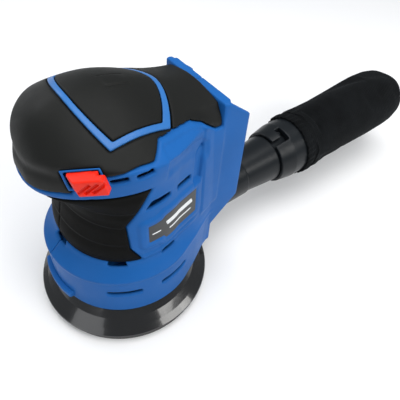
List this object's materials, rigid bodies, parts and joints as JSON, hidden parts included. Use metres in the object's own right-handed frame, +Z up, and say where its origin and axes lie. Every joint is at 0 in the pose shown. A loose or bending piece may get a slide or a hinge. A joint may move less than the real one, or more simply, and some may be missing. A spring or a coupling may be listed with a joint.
{
  "type": "cordless random orbital sander",
  "caption": "Palm-grip cordless dual-action sander and polisher with a round orbiting pad, an empty battery receptacle and a rear fabric dust bag.",
  "frame": {"origin": "on the motor axis, at the middle of the pad's bottom face", "axes": "+Z up along the motor axis, -Y towards the nose, +Y towards the battery receptacle and dust bag, +X towards the operator's left side, where the switch is"},
  "size_m": [0.125, 0.3754, 0.1695],
  "materials": {
    "housing_blue": "satin moulded ABS",
    "soft_grip": "soft-touch overmould",
    "trim_blue": "satin moulded",
    "switch_red": "satin moulded",
    "inner_plastic": "glass-filled nylon",
    "board_green": "solder mask",
    "contact_brass": "stamped",
    "lead_cover": "PVC",
    "plate_dark": "printed label",
    "steel": "ground",
    "magnet": "sintered",
    "core_iron": "varnished laminations",
    "copper": "machined",
    "rubber": "matte",
    "alloy": "die cast",
    "pad_gloss": "glossy skin",
    "foam": "closed-cell foam",
    "hook": "hook tape",
    "tube_black": "satin moulded",
    "bag_fabric": "knitted polyester"
  },
  "bodies": {
    "housing": {"housing_left": "housing_blue", "housing_right": "housing_blue", "front_bumper": "housing_blue", "top_cover": "soft_grip", "palm_panel": "soft_grip", "trim_frame": "trim_blue", "grip_left": "soft_grip", "grip_right": "soft_grip", "switch_bezel": "housing_blue", "microswitch": "inner_plastic", "control_board": "board_green", "terminal_block": "inner_plastic", "terminal_blades": "contact_brass", "supply_leads": "lead_cover", "motor_leads": "lead_cover", "nameplate_left": "plate_dark", "nameplate_right": "plate_dark", "housing_screws": "steel", "motor_can": "steel", "motor_magnets": "magnet", "brush_plate": "inner_plastic", "carbon_brushes": "magnet", "upper_bearing": "steel", "lower_bearing": "steel", "motor_damper": "rubber", "motor_mount": "alloy", "motor_screws": "steel", "brake_ring": "rubber", "fan_shroud": "inner_plastic", "outlet_spigot": "tube_black"},
    "rotor": {"armature": "core_iron", "commutator": "copper", "motor_shaft": "steel", "fan": "inner_plastic", "counterweight_hub": "alloy", "bearing_outer": "steel"},
    "pad": {"bearing_balls": "steel", "bearing_inner": "steel", "pad_spindle": "steel", "pad_carrier": "alloy", "pad_screws": "steel", "backing_pad": "pad_gloss", "foam_layer": "foam", "hook_disc": "hook"},
    "switch": {"switch_button": "switch_red"},
    "dust_tube": {"dust_tube": "tube_black"},
    "bag": {"bag_collar": "tube_black", "bag_ring": "steel", "bag_cuff": "bag_fabric", "dust_bag": "bag_fabric"}
  },
  "joints": [
    {"name": "motor_spin", "type": "hinge", "parent": "housing", "child": "rotor", "pos_m": [0, 0, 0.05], "axis": [0, 0, 1], "continuous": true},
    {"name": "pad_spin", "type": "hinge", "parent": "rotor", "child": "pad", "pos_m": [0, -0.00125, 0.02], "axis": [0, 0, 1], "continuous": true},
    {"name": "switch_slide", "type": "slide", "parent": "housing", "child": "switch", "axis": [0.6392, 0.7354, 0.225], "range_m": [0, 0.0035]},
    {"name": "tube_pull", "type": "slide", "parent": "housing", "child": "dust_tube", "axis": [0, 0.9988, 0.0499], "range_m": [0, 0.03]},
    {"name": "bag_twist", "type": "hinge", "parent": "dust_tube", "child": "bag", "pos_m": [0, 0.062, 0.0444], "axis": [0, 0.9988, 0.0499], "range_deg": [-20, 0]}
  ]
}
